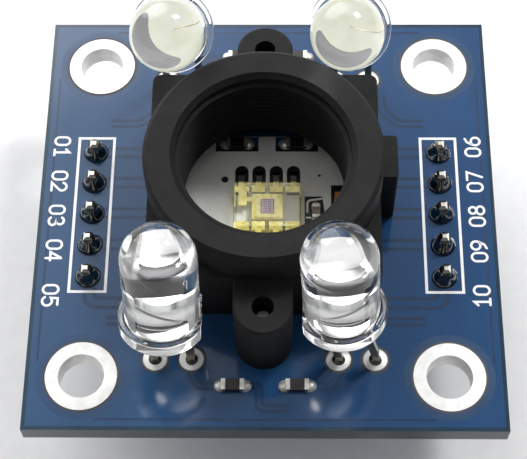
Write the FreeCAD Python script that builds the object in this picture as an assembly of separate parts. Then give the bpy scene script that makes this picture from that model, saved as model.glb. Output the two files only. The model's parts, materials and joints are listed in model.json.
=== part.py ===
import FreeCAD, Part
import math
import os

# Colour sensor module: a square circuit board with a black lens holder over a clear
# light sensor chip, four clear lamps leaning in over it, and two rows of header pins.
# All sizes are in millimetres and all angles in degrees.
# X runs left to right, Y runs front to back and Z points up, away from the board.
# The origin is the centre of the four mounting holes on the board's underside.

# Circuit board
board_size_x = 33.2
board_size_y = 33.2
board_thickness = 1.6
mount_pitch_x = 25.4
mount_pitch_y = 25.4
mount_hole_diameter = 3.2
mount_ring_diameter = 5.0
plating_thickness = 0.05
via_diameter = 0.5
via_from_sensor_x = -3.15
via_from_sensor_y = 2.8

# Header rows, which point down
header_row_spacing = 25.4
pin_pitch = 2.54
pins_per_row = 5
pin_width = 0.64
pin_tip_length = 0.18
pin_above_board = 1.45
pin_below_strip = 6.0
strip_width = 2.5
strip_height = 2.54
strip_notch = 0.45
pin_hole_diameter = 1.02
pin_solder_diameter = 1.95
pin_solder_height = 1.2
pin_solder_tip_diameter = 1.0
solder_sides = 12

# Lens holder
holder_offset_x = -0.1
holder_base_side = 16.0
holder_base_height = 6.1
holder_corner_radius = 0.6
collar_diameter = 16.4
collar_height = 2.9
collar_edge_chamfer = 0.25
thread_diameter = 12.0
thread_chamfer = 0.35
cavity_side = 13.6
cavity_height = 2.0
cavity_corner_radius = 1.0
ear_pitch = 20.3
ear_width = 4.0
ear_edge_chamfer = 0.15
ear_hole_diameter = 1.5
boss_reach = 1.3
boss_width = 3.3
boss_height = 6.0
boss_from_centre_y = 1.35
boss_edge_radius = 0.25

# Screws that hold the lens holder from below
screw_diameter = 2.0
screw_grip = 4.4
screw_point_length = 0.8
screw_point_diameter = 0.9
screw_head_diameter = 3.8
screw_head_height = 1.4
screw_head_edge_chamfer = 0.4
screw_recess_width = 0.55
screw_recess_length = 2.2
screw_recess_depth = 0.8
screw_hole_clearance = 0.1

# Lamps: 5 mm clear light-emitting diodes
lamp_pitch_x = 12.7
lamp_row_spacing = 22.86
lamp_lead_pitch = 2.54
lamp_lead_width = 0.5
lamp_lead_tail = 1.3
lamp_lead_rise = 0.9
lamp_lead_straight = 0.9
lamp_bend_radius = 0.8
lens_diameter = 5.0
lens_length = 8.6
flange_diameter = 5.9
flange_height = 1.0
post_base_height = 1.25
post_top_height = 3.6
post_thickness = 0.5
cup_plate_reach = 0.75
cup_plate_edge_height = 0.75
post_gap = 0.22
post_slant_gap = 0.28
cup_block_diameter = 1.4
cup_block_height = 0.7
cup_mouth_diameter = 1.1
cup_floor_diameter = 0.7
cup_depth = 0.4
lamp_hole_diameter = 0.9
lamp_pad_diameter = 1.84
lamp_pad_thickness = 0.06
lamp_solder_height = 1.1
lamp_solder_tip_diameter = 0.7

# How each lamp stands: its lean towards +X and towards +Y, its shift in X from its
# pads, the gap to the holder that it clears, and the side of its flat.
front_left_lean = (0.5, 15.3)
front_left_shift_x = -0.30
front_left_gap = 0.04
front_left_height = 5.9
front_right_lean = (-3.2, 10.0)
front_right_shift_x = -1.25
front_right_gap = -0.16
front_right_height = 6.6
rear_left_lean = (0.4, -37.5)
rear_left_shift_x = -0.29
rear_left_shift_y = -1.13
rear_left_gap = 0.4
rear_right_lean = (-5.0, -38.6)
rear_right_shift_x = -0.43
rear_right_shift_y = -0.73
rear_right_gap = 0.1

# Sensor chip: a clear eight-lead package
sensor_offset_x = 0.07
package_size_x = 4.9
package_size_y = 3.9
package_standoff = 0.1
package_height = 1.4
package_draft_width = 0.12
sensor_lead_pitch = 1.27
sensor_leads_per_side = 4
sensor_lead_width = 0.42
sensor_lead_thickness = 0.2
sensor_lead_plane = 0.65
sensor_lead_span = 6.0
sensor_foot_length = 0.5
sensor_shoulder = 0.2
sensor_head_width = 0.96
sensor_head_length = 0.43
sensor_head_from_edge = 0.31
sensor_end_head_shift = 0.12
sensor_long_finger_width = 0.6
sensor_long_finger_length = 1.55
paddle_size_x = 2.2
paddle_size_y = 2.06
paddle_tie_width = 0.3
paddle_tie_inset = 0.3
die_size_x = 1.7
die_size_y = 1.6
die_thickness = 0.25
die_shift_y = -0.15
sensor_solder_length = 0.45
sensor_solder_margin = 0.06
sensor_solder_rise = 0.16
sensor_solder_toe = 0.03

# Chip resistors and capacitors
resistor_length = 1.6
resistor_width = 0.8
resistor_height = 0.45
resistor_end_length = 0.3
small_capacitor_length = 1.06
small_capacitor_width = 0.56
small_capacitor_height = 0.5
small_capacitor_end_length = 0.22
small_capacitor_x = 3.62
small_capacitor_y = 0.0
end_plating = 0.05
moulded_capacitor_length = 3.2
moulded_capacitor_width = 1.6
moulded_capacitor_height = 1.6
moulded_capacitor_chamfer = 0.25
moulded_capacitor_tab_width = 1.2
moulded_capacitor_tab_height = 0.8
moulded_capacitor_tab_thickness = 0.12
moulded_capacitor_x = 5.75
moulded_capacitor_y = -0.4
resistor_spread_x = 2.22
front_resistor_y = -13.4
rear_resistor_y = 13.5
inner_resistor_y = 5.8
chip_solder_length = 0.65
chip_solder_width = 0.9
chip_solder_rise_share = 0.75
chip_solder_toe = 0.06
solder_knee_share = 0.35

match_tolerance = 1e-6

board_top = board_thickness
pin_bottom = -(strip_height + pin_below_strip)
lens_radius = lens_diameter / 2
flange_radius = flange_diameter / 2
lead_offset = lamp_lead_pitch / 2


def box(size_x, size_y, low, high, x=0.0, y=0.0):
    corner = FreeCAD.Vector(x - size_x / 2, y - size_y / 2, low)
    return Part.makeBox(size_x, size_y, high - low, corner)


def disc(diameter, low, high, x=0.0, y=0.0):
    return Part.makeCylinder(diameter / 2, high - low, FreeCAD.Vector(x, y, low))


def joined(shapes):
    if len(shapes) == 1:
        return shapes[0]
    return shapes[0].fuse(shapes[1:]).removeSplitter()


def moved(shape, x=0.0, y=0.0, z=0.0):
    copy = shape.copy()
    copy.translate(FreeCAD.Vector(x, y, z))
    return copy


def turned(shape, angle):
    copy = shape.copy()
    copy.rotate(FreeCAD.Vector(0, 0, 0), FreeCAD.Vector(0, 0, 1), angle)
    return copy


# A flat outline pushed straight along a direction.
def prism(points, direction):
    corners = [FreeCAD.Vector(*point) for point in points]
    outline = Part.makePolygon(corners + [corners[0]])
    return Part.Face(outline).extrude(FreeCAD.Vector(*direction))


# A half outline in the XZ plane turned about the Z axis.
def turned_profile(edges):
    face = Part.Face(Part.Wire(edges))
    return face.revolve(FreeCAD.Vector(0, 0, 0), FreeCAD.Vector(0, 0, 1), 360)


def profile_line(start, end):
    return Part.makeLine(FreeCAD.Vector(start[0], 0, start[1]), FreeCAD.Vector(end[0], 0, end[1]))


def profile_arc(start, middle, end):
    points = [FreeCAD.Vector(point[0], 0, point[1]) for point in (start, middle, end)]
    return Part.Arc(*points).toShape()


def upright_edges(shape, low, high):
    found = []
    for edge in shape.Edges:
        bounds = edge.BoundBox
        stands = bounds.XLength < match_tolerance and bounds.YLength < match_tolerance
        if stands and abs(bounds.ZMin - low) < match_tolerance and abs(bounds.ZMax - high) < match_tolerance:
            found.append(edge)
    return found


def rounded_block(side_x, side_y, low, high, radius, x=0.0, y=0.0):
    block = box(side_x, side_y, low, high, x, y)
    return block.makeFillet(radius, upright_edges(block, low, high))


# The places of the mounting holes, the header pins and the lamps' leads
def mount_places():
    half_x = mount_pitch_x / 2
    half_y = mount_pitch_y / 2
    return [(side_x * half_x, side_y * half_y) for side_x in (-1, 1) for side_y in (-1, 1)]


def header_places(side):
    x = side * header_row_spacing / 2
    middle = (pins_per_row - 1) / 2
    return [(x, (middle - index) * pin_pitch) for index in range(pins_per_row)]


def lamp_pad_places(side_x, side_y):
    x = side_x * lamp_pitch_x / 2
    y = side_y * lamp_row_spacing / 2
    return [(x - lead_offset, y), (x + lead_offset, y)]


def ear_places():
    return [(holder_offset_x, side * ear_pitch / 2) for side in (-1, 1)]


def all_lamp_pads():
    places = []
    for side_x in (-1, 1):
        for side_y in (-1, 1):
            places += lamp_pad_places(side_x, side_y)
    return places


# The laminate with its drilled holes
def make_circuit_board():
    board = box(board_size_x, board_size_y, 0, board_thickness)
    drilled = mount_hole_diameter + 2 * plating_thickness
    tools = []
    for x, y in mount_places():
        tools.append(disc(drilled, 0, board_thickness, x, y))
    for side in (-1, 1):
        for x, y in header_places(side):
            tools.append(disc(pin_hole_diameter, 0, board_thickness, x, y))
    for x, y in all_lamp_pads():
        tools.append(disc(lamp_hole_diameter, 0, board_thickness, x, y))
    for x, y in ear_places():
        screw_hole = screw_diameter + 2 * screw_hole_clearance
        tools.append(disc(screw_hole, 0, board_thickness, x, y))
    via_x = sensor_offset_x + via_from_sensor_x
    tools.append(disc(via_diameter, 0, board_thickness, via_x, via_from_sensor_y))
    return board.cut(tools)


# One flanged tube through each mounting hole, with a ring on both faces of the board
def make_mounting_hole_plating():
    rings = []
    for x, y in mount_places():
        drilled = mount_hole_diameter + 2 * plating_thickness
        barrel = disc(drilled, 0, board_thickness, x, y)
        lower = disc(mount_ring_diameter, -plating_thickness, 0, x, y)
        upper = disc(mount_ring_diameter, board_top, board_top + plating_thickness, x, y)
        hole = disc(mount_hole_diameter, -plating_thickness, board_top + plating_thickness, x, y)
        rings.append(joined([barrel, lower, upper]).cut(hole))
    return Part.makeCompound(rings)


# A square pin with a tapered tip at each end
def make_pin(x, y):
    pin = box(pin_width, pin_width, pin_bottom, board_top + pin_above_board, x, y)
    end_edges = [edge for edge in pin.Edges if edge.BoundBox.ZLength < match_tolerance]
    return pin.makeChamfer(pin_tip_length, end_edges)


def make_header_pins(side):
    return Part.makeCompound([make_pin(x, y) for x, y in header_places(side)])


# The moulded strip under the board: one eight-sided block for each pin
def make_header_strip(side):
    half_x = strip_width / 2
    half_y = pin_pitch / 2
    near_x = half_x - strip_notch
    near_y = half_y - strip_notch
    outline = [
        (near_x, half_y), (half_x, near_y), (half_x, -near_y), (near_x, -half_y),
        (-near_x, -half_y), (-half_x, -near_y), (-half_x, near_y), (-near_x, half_y),
    ]
    blocks = []
    slots = []
    for x, y in header_places(side):
        corners = [(x + point[0], y + point[1], -strip_height) for point in outline]
        blocks.append(prism(corners, (0, 0, strip_height)))
        slots.append(box(pin_width, pin_width, -strip_height, 0, x, y))
    return joined(blocks).cut(slots)


# Solder keeps to a many-sided form: in a hole, as a land on its pad, and as the cone
# that has run up a lead.
def ring_of_corners(diameter, z, x=0.0, y=0.0):
    corners = []
    for index in range(solder_sides):
        angle = 2 * math.pi * (index + 0.5) / solder_sides
        corner_x = x + diameter / 2 * math.cos(angle)
        corner_y = y + diameter / 2 * math.sin(angle)
        corners.append(FreeCAD.Vector(corner_x, corner_y, z))
    return corners


def flat_face(corners):
    return Part.Face(Part.makePolygon(corners + [corners[0]]))


def solder_plug(diameter, low, high, x, y):
    bottom = flat_face(ring_of_corners(diameter, low, x, y))
    return bottom.extrude(FreeCAD.Vector(0, 0, high - low))


def solder_cone(pad_diameter, tip_diameter, height):
    pad = ring_of_corners(pad_diameter, 0)
    tip = ring_of_corners(tip_diameter, height)
    faces = [flat_face(pad), flat_face(tip)]
    for index in range(solder_sides):
        before = index - 1
        faces.append(flat_face([pad[before], pad[index], tip[index], tip[before]]))
    return Part.makeSolid(Part.makeShell(faces))


def make_header_solder(side):
    cone = solder_cone(pin_solder_diameter, pin_solder_tip_diameter, pin_solder_height)
    joints = []
    for x, y in header_places(side):
        filling = solder_plug(pin_hole_diameter, 0, board_thickness, x, y)
        joint = filling.fuse(moved(cone, x, y, board_top))
        joints.append(joint.cut(make_pin(x, y)))
    return Part.makeCompound(joints)


# A wedge of solder with a dished slope, running out along Y from an upright end
def solder_wedge(start, length, rise, toe, width, x=0.0):
    left = x - width / 2
    knee = start + length * solder_knee_share
    end = start + length
    return prism([
        (left, start, 0), (left, start, rise), (left, knee, rise * solder_knee_share),
        (left, end, toe), (left, end, 0),
    ], (width, 0, 0))


# The moulded lens holder: a square base, a round collar with the lens bore, two
# screw ears and a boss on one side, over a square room for the sensor
def make_lens_holder():
    base_top = board_top + holder_base_height
    collar_top = base_top + collar_height
    base = rounded_block(holder_base_side, holder_base_side, board_top, base_top, holder_corner_radius)
    collar = disc(collar_diameter, base_top, collar_top)
    rim = [edge for edge in collar.Edges if abs(edge.BoundBox.ZMin - collar_top) < match_tolerance]
    collar = collar.makeChamfer(collar_edge_chamfer, rim)
    ears = [make_ear(side) for side in (-1, 1)]
    holder = joined([base, collar, make_boss()] + ears)

    room_top = board_top + cavity_height
    room = rounded_block(cavity_side, cavity_side, board_top, room_top, cavity_corner_radius)
    bore = disc(thread_diameter, room_top, collar_top)
    bore_radius = thread_diameter / 2
    mouth_low = FreeCAD.Vector(0, 0, collar_top - thread_chamfer)
    mouth = Part.makeCone(bore_radius, bore_radius + thread_chamfer, thread_chamfer, mouth_low)
    tools = [room, bore, mouth]
    for side in (-1, 1):
        y = side * ear_pitch / 2
        grip_top = board_top + screw_grip
        tools.append(disc(screw_diameter, board_top, grip_top, 0, y))
        tools.append(disc(ear_hole_diameter, board_top, base_top, 0, y))
    return moved(holder.cut(tools), holder_offset_x)


def make_ear(side):
    top = board_top + holder_base_height
    y = side * ear_pitch / 2
    tongue = box(ear_width, abs(y), board_top, top, 0, y / 2)
    end = disc(ear_width, board_top, top, 0, y)
    ear = joined([tongue, end])
    arc = []
    for edge in ear.Edges:
        bounds = edge.BoundBox
        on_top = abs(bounds.ZMin - top) < match_tolerance
        if on_top and abs(side * y - max(abs(bounds.YMin), abs(bounds.YMax))) > ear_width / 4:
            if edge.Curve.TypeId == "Part::GeomCircle":
                arc.append(edge)
    return ear.makeChamfer(ear_edge_chamfer, arc)


def make_boss():
    reach = holder_base_side / 2 + boss_reach
    top = board_top + boss_height
    boss = box(reach, boss_width, board_top, top, reach / 2, boss_from_centre_y)
    outer = []
    for edge in upright_edges(boss, board_top, top):
        if abs(edge.BoundBox.XMin - reach) < match_tolerance:
            outer.append(edge)
    return boss.makeFillet(boss_edge_radius, outer)


# A pan-head screw, head down, driven up through the board into an ear
def make_holder_screw(side):
    y = side * ear_pitch / 2
    tip = board_top + screw_grip
    neck = tip - screw_point_length
    head = disc(screw_head_diameter, -screw_head_height, 0)
    rim = [edge for edge in head.Edges if abs(edge.BoundBox.ZMax + screw_head_height) < match_tolerance]
    head = head.makeChamfer(screw_head_edge_chamfer, rim)
    shank = disc(screw_diameter, -screw_head_height / 2, neck)
    neck_centre = FreeCAD.Vector(0, 0, neck)
    point = Part.makeCone(screw_diameter / 2, screw_point_diameter / 2, screw_point_length, neck_centre)
    recess_top = -screw_head_height + screw_recess_depth
    recess = box(screw_recess_length, screw_recess_width, -screw_head_height, recess_top)
    screw = joined([head, shank, point]).cut(joined([recess, turned(recess, 90)]))
    return moved(screw, holder_offset_x, y)


# A lamp's own frame has its origin at the middle of the lens's flat bottom and
# its Z axis along the lens.
def lamp_axis(lean):
    lean_x = math.tan(math.radians(lean[0]))
    lean_y = math.tan(math.radians(lean[1]))
    return FreeCAD.Vector(lean_x, lean_y, 1).normalize()


def lamp_frame(base, lean):
    axis = lamp_axis(lean)
    across = FreeCAD.Vector(0, 1, 0).cross(axis).normalize()
    forward = axis.cross(across)
    matrix = FreeCAD.Matrix(
        across.x, forward.x, axis.x, base[0],
        across.y, forward.y, axis.y, base[1],
        across.z, forward.z, axis.z, base[2],
        0, 0, 0, 1)
    return FreeCAD.Placement(matrix)


def placed(shape, frame):
    copy = shape.copy()
    copy.Placement = frame.multiply(copy.Placement)
    return copy


# The front lamps stand in front of the holder's wall, and the rear lamps lean over it.
def front_lamp_base(side_x, lean, shift_x, gap, height):
    angle = math.radians(lean[1])
    reach = flange_radius * math.cos(angle) + flange_height * math.sin(angle)
    y = -(holder_base_side / 2 + gap + reach)
    return (side_x * lamp_pitch_x / 2 + shift_x, y, board_top + height)


def rear_lamp_base(side_x, lean, shift_x, shift_y, gap):
    drop = flange_radius * math.sin(math.radians(abs(lean[1])))
    z = board_top + holder_base_height + gap + drop
    return (side_x * lamp_pitch_x / 2 + shift_x, lamp_row_spacing / 2 + shift_y, z)


# The clear lens: flange with a flat, straight wall and round nose
def make_lens(flat_side):
    shoulder = lens_length - lens_radius
    slant = math.sqrt(0.5)
    nose = (lens_radius * slant, shoulder + lens_radius * slant)
    edges = [
        profile_line((0, 0), (flange_radius, 0)),
        profile_line((flange_radius, 0), (flange_radius, flange_height)),
        profile_line((flange_radius, flange_height), (lens_radius, flange_height)),
        profile_line((lens_radius, flange_height), (lens_radius, shoulder)),
        profile_arc((lens_radius, shoulder), nose, (0, lens_length)),
        profile_line((0, lens_length), (0, 0)),
    ]
    lens = turned_profile(edges)
    trim_x = flat_side * (lens_radius + flange_radius)
    return lens.cut(box(flange_diameter, flange_diameter * 2, 0, flange_height, trim_x))


# A straight-sided path with a round bend at each inner point
def bent_path(points, radius):
    corners = [FreeCAD.Vector(*point) for point in points]
    edges = []
    start = corners[0]
    for before, corner, after in zip(corners, corners[1:], corners[2:]):
        way_in = (corner - before).normalize()
        way_out = (after - corner).normalize()
        turn = way_in.getAngle(way_out)
        reach = radius * math.tan(turn / 2)
        bend_start = corner - way_in * reach
        bend_end = corner + way_out * reach
        inward = (way_out - way_in).normalize()
        middle = corner + inward * (radius / math.cos(turn / 2) - radius)
        edges.append(Part.makeLine(start, bend_start))
        edges.append(Part.Arc(bend_start, middle, bend_end).toShape())
        start = bend_end
    edges.append(Part.makeLine(start, corners[-1]))
    return Part.Wire(edges)


# The square wire from inside the lens down to its tail under the board
def make_lead_wire(side, frame, pad):
    half = lamp_lead_width / 2
    x = side * lead_offset
    start = frame.multVec(FreeCAD.Vector(x, 0, post_base_height))
    leave = frame.multVec(FreeCAD.Vector(x, 0, -lamp_lead_straight))
    knee = FreeCAD.Vector(pad[0], pad[1], board_top + lamp_lead_rise)
    tail = FreeCAD.Vector(pad[0], pad[1], -lamp_lead_tail)
    path = bent_path([start, leave, knee, tail], lamp_bend_radius)
    corners = [(x - half, -half), (x + half, -half), (x + half, half), (x - half, half)]
    section = [frame.multVec(FreeCAD.Vector(point[0], point[1], post_base_height)) for point in corners]
    outline = Part.makePolygon(section + [section[0]])
    return path.makePipeShell([outline], True, False)


# The filled cup that holds the light chip, as a cone from its floor to its mouth
def make_phosphor():
    floor = FreeCAD.Vector(0, 0, post_top_height - cup_depth)
    return Part.makeCone(cup_floor_diameter / 2, cup_mouth_diameter / 2, cup_depth, floor)


# The two leads widen inside the lens into flat plates with a slanting gap between
# them. This plate, on the side of the lens's flat, reaches over the lamp's middle and
# carries the cup in a round block.
def make_cup_post(side):
    inner = lead_offset - lamp_lead_width / 2
    outer = lead_offset + lamp_lead_width / 2
    back = -post_thickness / 2
    outline = [
        (side * inner, back, post_base_height),
        (side * outer, back, post_base_height),
        (side * outer, back, post_top_height),
        (-side * cup_plate_reach, back, post_top_height),
        (-side * cup_plate_reach, back, post_top_height - cup_plate_edge_height),
    ]
    plate = prism(outline, (0, post_thickness, 0))
    block = disc(cup_block_diameter, post_top_height - cup_block_height, post_top_height)
    return joined([plate, block])


# The other plate fills the corner under the slant, and the bond wire reaches its top.
def make_flag_post(side):
    inner = lead_offset - lamp_lead_width / 2
    outer = lead_offset + lamp_lead_width / 2
    flag = cup_plate_reach + post_gap
    slant_rise = post_top_height - cup_plate_edge_height - post_base_height
    slope = slant_rise / (cup_plate_reach + inner)
    foot = post_slant_gap / slope - inner
    corner_height = post_base_height + slope * (flag - foot)
    back = -post_thickness / 2
    outline = [
        (side * foot, back, post_base_height),
        (side * outer, back, post_base_height),
        (side * outer, back, post_top_height),
        (side * flag, back, post_top_height),
        (side * flag, back, corner_height),
    ]
    return prism(outline, (0, post_thickness, 0))


def make_lamp(name, side_x, side_y, base, lean, flat_side):
    frame = lamp_frame(base, lean)
    pads = lamp_pad_places(side_x, side_y)
    pad_of = {-1: pads[0], 1: pads[1]}
    cup_wire = make_lead_wire(flat_side, frame, pad_of[flat_side])
    flag_wire = make_lead_wire(-flat_side, frame, pad_of[-flat_side])
    whole_cup_lead = joined([placed(make_cup_post(flat_side), frame), cup_wire])
    flag_lead = joined([placed(make_flag_post(-flat_side), frame), flag_wire])
    phosphor = placed(make_phosphor(), frame)
    cup_lead = whole_cup_lead.cut(phosphor)
    lens = placed(make_lens(flat_side), frame).cut([whole_cup_lead, flag_lead])
    return {
        name + "_led_lens": lens,
        name + "_led_cup_lead": cup_lead,
        name + "_led_post_lead": flag_lead,
        name + "_led_phosphor": phosphor,
    }


def make_lamps():
    parts = {}
    base = front_lamp_base(-1, front_left_lean, front_left_shift_x, front_left_gap, front_left_height)
    parts.update(make_lamp("front_left", -1, -1, base, front_left_lean, 1))
    base = front_lamp_base(1, front_right_lean, front_right_shift_x, front_right_gap, front_right_height)
    parts.update(make_lamp("front_right", 1, -1, base, front_right_lean, -1))
    base = rear_lamp_base(-1, rear_left_lean, rear_left_shift_x, rear_left_shift_y, rear_left_gap)
    parts.update(make_lamp("rear_left", -1, 1, base, rear_left_lean, -1))
    base = rear_lamp_base(1, rear_right_lean, rear_right_shift_x, rear_right_shift_y, rear_right_gap)
    parts.update(make_lamp("rear_right", 1, 1, base, rear_right_lean, -1))
    return parts


# Each lamp lead is soldered under the board, and its hole's land shows on top.
def make_lamp_solder(lamp_parts):
    leads = [shape for node, shape in lamp_parts.items() if node.endswith("_lead")]
    cone = solder_cone(lamp_pad_diameter, lamp_solder_tip_diameter, lamp_solder_height)
    cone.rotate(FreeCAD.Vector(0, 0, 0), FreeCAD.Vector(1, 0, 0), 180)
    joints = []
    for x, y in all_lamp_pads():
        filling = solder_plug(lamp_hole_diameter, 0, board_thickness, x, y)
        land = solder_plug(lamp_pad_diameter, board_top, board_top + lamp_pad_thickness, x, y)
        joint = joined([filling, land, moved(cone, x, y)])
        joints.append(joint.cut(leads))
    return Part.makeCompound(joints)


# The sensor's own frame has its origin on the board under the package's centre.
def sensor_lead_x(index):
    return (index - (sensor_leads_per_side - 1) / 2) * sensor_lead_pitch


# One lead, on the rear side: a bent strip with a foot outside and a head inside
def make_sensor_lead(index):
    thickness = sensor_lead_thickness
    top = sensor_lead_plane + thickness
    edge = package_size_y / 2
    tip = sensor_lead_span / 2
    knee = edge + sensor_shoulder
    heel = tip - sensor_foot_length
    head_outer = edge - sensor_head_from_edge
    x = sensor_lead_x(index)
    left = x - sensor_lead_width / 2
    strip = prism([
        (left, head_outer, top), (left, knee, top), (left, heel, thickness), (left, tip, thickness),
        (left, tip, 0), (left, heel - thickness / 2, 0), (left, knee - thickness / 2, sensor_lead_plane),
        (left, head_outer, sensor_lead_plane),
    ], (sensor_lead_width, 0, 0))
    is_end = index in (0, sensor_leads_per_side - 1)
    inward = -math.copysign(sensor_end_head_shift, x) if is_end else 0.0
    middle = head_outer - sensor_head_length / 2
    head = box(sensor_head_width, sensor_head_length, sensor_lead_plane, top, x + inward, middle)
    return joined([strip, head])


# The long lead carries the paddle that the light chip sits on.
def make_paddle_lead():
    top = sensor_lead_plane + sensor_lead_thickness
    finger_outer = package_size_y / 2 - sensor_head_from_edge
    finger_y = finger_outer - sensor_long_finger_length / 2
    x = sensor_lead_x(0) + sensor_end_head_shift
    finger = box(sensor_long_finger_width, sensor_long_finger_length, sensor_lead_plane, top, x, finger_y)
    paddle = box(paddle_size_x, paddle_size_y, sensor_lead_plane, top)
    tie_y = min(paddle_size_y / 2, finger_outer) - paddle_tie_inset - paddle_tie_width / 2
    tie = box(abs(x), paddle_tie_width, sensor_lead_plane, top, x / 2, tie_y)
    return joined([make_sensor_lead(0), finger, paddle, tie])


def make_sensor_lead_frame():
    leads = [make_paddle_lead()]
    leads += [make_sensor_lead(index) for index in range(1, sensor_leads_per_side)]
    leads += [turned(make_sensor_lead(index), 180) for index in range(sensor_leads_per_side)]
    return Part.makeCompound([moved(lead, sensor_offset_x, 0, board_top) for lead in leads])


def make_sensor_die():
    low = board_top + sensor_lead_plane + sensor_lead_thickness
    return box(die_size_x, die_size_y, low, low + die_thickness, sensor_offset_x, die_shift_y)


# The clear moulding tapers away from the plane where its two halves meet.
def make_sensor_package(lead_frame, die):
    low = package_standoff
    seam = sensor_lead_plane + sensor_lead_thickness / 2
    high = package_standoff + package_height

    def outline(inset, z):
        half_x = package_size_x / 2 - inset
        half_y = package_size_y / 2 - inset
        corners = [(-half_x, -half_y), (half_x, -half_y), (half_x, half_y), (-half_x, half_y)]
        points = [FreeCAD.Vector(x, y, z) for x, y in corners]
        return Part.makePolygon(points + [points[0]])

    lower = Part.makeLoft([outline(package_draft_width, low), outline(0, seam)], True)
    upper = Part.makeLoft([outline(0, seam), outline(package_draft_width, high)], True)
    body = moved(joined([lower, upper]), sensor_offset_x, 0, board_top)
    return body.cut(lead_frame.Solids + [die])


# A wedge of solder at the toe of each foot
def make_sensor_solder():
    tip = sensor_lead_span / 2
    width = sensor_lead_width + 2 * sensor_solder_margin
    wedges = []
    for index in range(sensor_leads_per_side):
        x = sensor_lead_x(index)
        wedge = solder_wedge(tip, sensor_solder_length, sensor_solder_rise, sensor_solder_toe, width, x)
        wedges.append(wedge)
        wedges.append(turned(wedge, 180))
    return Part.makeCompound([moved(wedge, sensor_offset_x, 0, board_top) for wedge in wedges])


# A chip part lies along X: a block with a metal cap folded round each end.
def make_chip_body(length, width, height):
    core = 2 * end_plating
    return box(length - core, width, end_plating, height - end_plating)


def make_chip_ends(length, width, height, end_length):
    body = make_chip_body(length, width, height)
    ends = []
    for side in (-1, 1):
        x = side * (length - end_length) / 2
        ends.append(box(end_length, width, 0, height, x).cut(body))
    return Part.makeCompound(ends)


def make_chip_solder(length, height):
    rise = height * chip_solder_rise_share
    wedge = solder_wedge(length / 2, chip_solder_length, rise, chip_solder_toe, chip_solder_width)
    return [turned(wedge, angle) for angle in (90, -90)]


def resistor_places():
    places = {}
    rows = {"front": front_resistor_y, "inner": inner_resistor_y, "rear": rear_resistor_y}
    for row, y in rows.items():
        for side, word in ((-1, "left"), (1, "right")):
            places[row + "_" + word + "_resistor"] = (side * resistor_spread_x, y)
    return places


def make_resistors():
    parts = {}
    for node, place in resistor_places().items():
        body = make_chip_body(resistor_length, resistor_width, resistor_height)
        ends = make_chip_ends(resistor_length, resistor_width, resistor_height, resistor_end_length)
        parts[node] = moved(body, place[0], place[1], board_top)
        parts[node + "_ends"] = moved(ends, place[0], place[1], board_top)
    return parts


def make_small_capacitor():
    sizes = (small_capacitor_length, small_capacitor_width, small_capacitor_height)
    body = turned(make_chip_body(*sizes), 90)
    ends = turned(make_chip_ends(*sizes, small_capacitor_end_length), 90)
    return {
        "small_capacitor": moved(body, small_capacitor_x, small_capacitor_y, board_top),
        "small_capacitor_ends": moved(ends, small_capacitor_x, small_capacitor_y, board_top),
    }


# The moulded capacitor lies along Y, with a folded tab at each end.
def make_moulded_capacitor():
    thickness = moulded_capacitor_tab_thickness
    half = moulded_capacitor_length / 2 - thickness
    body = box(moulded_capacitor_width, 2 * half, thickness, moulded_capacitor_height)
    top_edges = []
    for edge in body.Edges:
        if abs(edge.BoundBox.ZMin - moulded_capacitor_height) < match_tolerance:
            top_edges.append(edge)
    body = body.makeChamfer(moulded_capacitor_chamfer, top_edges)
    tabs = []
    for side in (-1, 1):
        wall_y = side * (half + thickness / 2)
        wall = box(moulded_capacitor_tab_width, thickness, 0, moulded_capacitor_tab_height, 0, wall_y)
        sole_y = side * (half - moulded_capacitor_tab_height / 2)
        sole = box(moulded_capacitor_tab_width, moulded_capacitor_tab_height, 0, thickness, 0, sole_y)
        tabs.append(joined([wall, sole]))
    place = (moulded_capacitor_x, moulded_capacitor_y, board_top)
    return {
        "moulded_capacitor": moved(body, *place),
        "moulded_capacitor_tabs": moved(Part.makeCompound(tabs), *place),
    }


def make_all_chip_solder():
    wedges = []
    for x, y in resistor_places().values():
        for wedge in make_chip_solder(resistor_length, resistor_height):
            wedges.append(moved(wedge, x, y, board_top))
    for wedge in make_chip_solder(small_capacitor_length, small_capacitor_height):
        wedge = turned(wedge, 90)
        wedges.append(moved(wedge, small_capacitor_x, small_capacitor_y, board_top))
    for wedge in make_chip_solder(moulded_capacitor_length, moulded_capacitor_tab_height):
        wedge = turned(wedge, 90)
        wedges.append(moved(wedge, moulded_capacitor_x, moulded_capacitor_y, board_top))
    return Part.makeCompound(wedges)


def make_parts():
    lead_frame = make_sensor_lead_frame()
    die = make_sensor_die()
    lamps = make_lamps()
    parts = {
        "circuit_board": make_circuit_board(),
        "mounting_hole_plating": make_mounting_hole_plating(),
        "lens_holder": make_lens_holder(),
        "holder_screw_front": make_holder_screw(-1),
        "holder_screw_rear": make_holder_screw(1),
        "left_header_strip": make_header_strip(-1),
        "right_header_strip": make_header_strip(1),
        "left_header_pins": make_header_pins(-1),
        "right_header_pins": make_header_pins(1),
        "left_header_solder": make_header_solder(-1),
        "right_header_solder": make_header_solder(1),
        "led_solder": make_lamp_solder(lamps),
        "sensor_package": make_sensor_package(lead_frame, die),
        "sensor_lead_frame": lead_frame,
        "sensor_die": die,
        "sensor_solder": make_sensor_solder(),
        "chip_solder": make_all_chip_solder(),
    }
    parts.update(lamps)
    parts.update(make_resistors())
    parts.update(make_small_capacitor())
    parts.update(make_moulded_capacitor())
    return parts


os.makedirs("parts", exist_ok=True)
for node, shape in make_parts().items():
    if not shape.isValid():
        print("not valid:", node)
    print(node, len(shape.Solids), shape.Volume)
    shape.exportStep("parts/" + node + ".step")
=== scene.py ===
import json
import math
import random

import bpy
from mathutils import Matrix, Vector, geometry


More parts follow.
